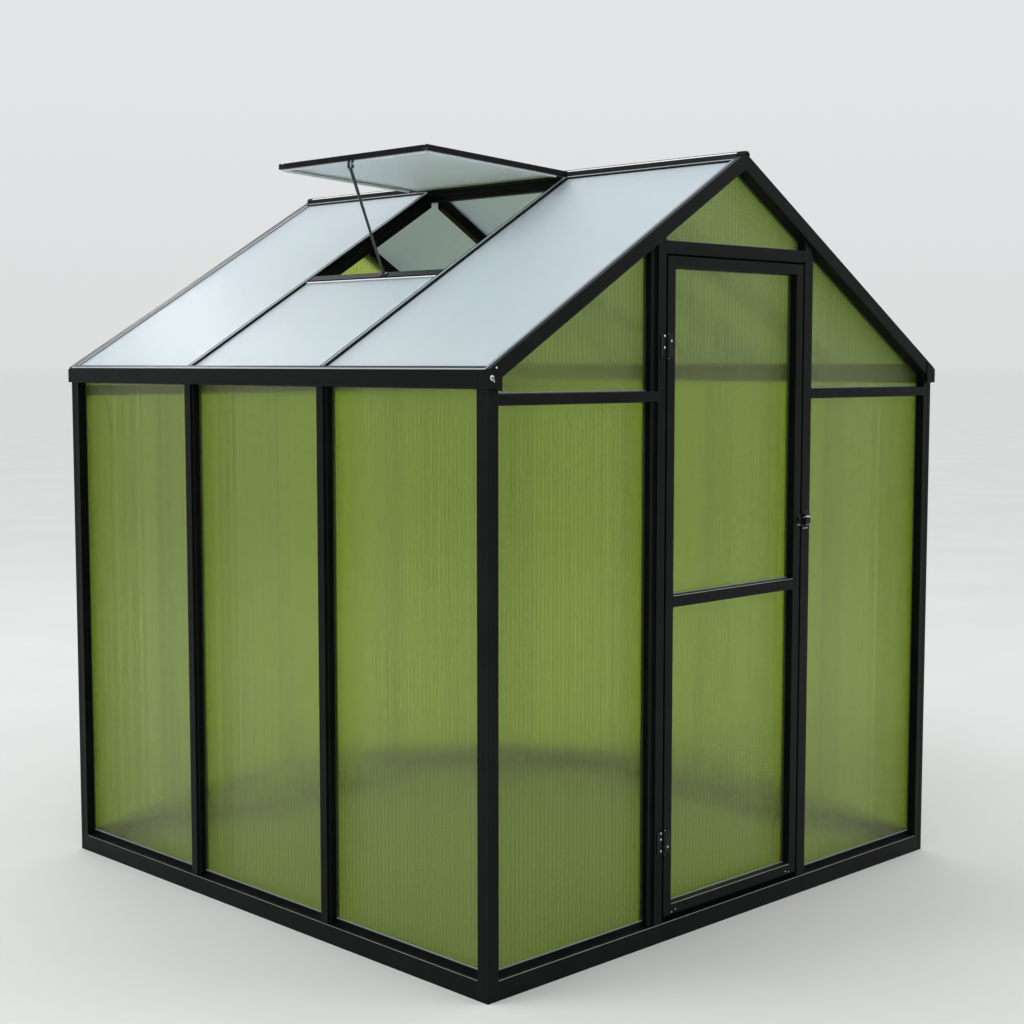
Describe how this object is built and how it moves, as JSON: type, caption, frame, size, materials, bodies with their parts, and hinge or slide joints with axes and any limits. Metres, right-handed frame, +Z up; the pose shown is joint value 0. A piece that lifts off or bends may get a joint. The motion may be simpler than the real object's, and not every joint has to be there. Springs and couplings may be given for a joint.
{
  "type": "greenhouse",
  "caption": "Small walk-in greenhouse with a black aluminium frame, twin-wall sheets, a gable door and an open roof vent.",
  "frame": {"origin": "on the ground, in the middle of the plan", "axes": "+Z up, -Y out through the door gable, +X to the right of a person who faces the door"},
  "size_m": [1.884, 1.8765, 2.1011],
  "materials": {
    "frame_metal": "satin black powder coat",
    "bracket_metal": "satin black powder coat",
    "hinge_metal": "black, slightly worn",
    "latch_metal": "black, satin",
    "stay_metal": "black, satin",
    "twin_wall_sheet": "clear twin-wall sheet with fine ribs"
  },
  "bodies": {
    "frame": {"base_rail_front": "frame_metal", "base_rail_rear": "frame_metal", "side_base_rails": "frame_metal", "front_corner_posts": "frame_metal", "rear_corner_posts": "frame_metal", "side_mullions": "frame_metal", "eave_beam_left": "frame_metal", "eave_beam_right": "frame_metal", "door_studs": "frame_metal", "rear_studs": "frame_metal", "front_gable_rails": "frame_metal", "rear_gable_rails": "frame_metal", "door_header": "frame_metal", "door_stops": "frame_metal", "front_rakes": "frame_metal", "rear_rakes": "frame_metal", "ridge_beam": "frame_metal", "ridge_caps": "frame_metal", "roof_bars_left": "frame_metal", "roof_bars_right": "frame_metal", "vent_sill": "frame_metal", "vent_hinge_rail": "frame_metal", "vent_sash_frame": "frame_metal", "vent_panel": "twin_wall_sheet", "vent_stay": "stay_metal", "left_wall_panels": "twin_wall_sheet", "right_wall_panels": "twin_wall_sheet", "front_wall_panels": "twin_wall_sheet", "front_gable_panels": "twin_wall_sheet", "rear_wall_panels": "twin_wall_sheet", "rear_gable_panels": "twin_wall_sheet", "left_roof_panels": "twin_wall_sheet", "right_roof_panels": "twin_wall_sheet", "eave_corner_brackets": "bracket_metal", "hinge_leaves_frame": "hinge_metal", "door_latch": "latch_metal"},
    "door": {"door_stiles": "frame_metal", "door_rails": "frame_metal", "door_panels": "twin_wall_sheet", "hinge_leaves_door": "hinge_metal", "latch_keeper": "latch_metal"}
  },
  "joints": [
    {"name": "door_hinge", "type": "hinge", "parent": "frame", "child": "door", "pos_m": [-0.3035, -0.93, 0.916], "axis": [0, 0, -1], "range_deg": [0, 150]}
  ]
}
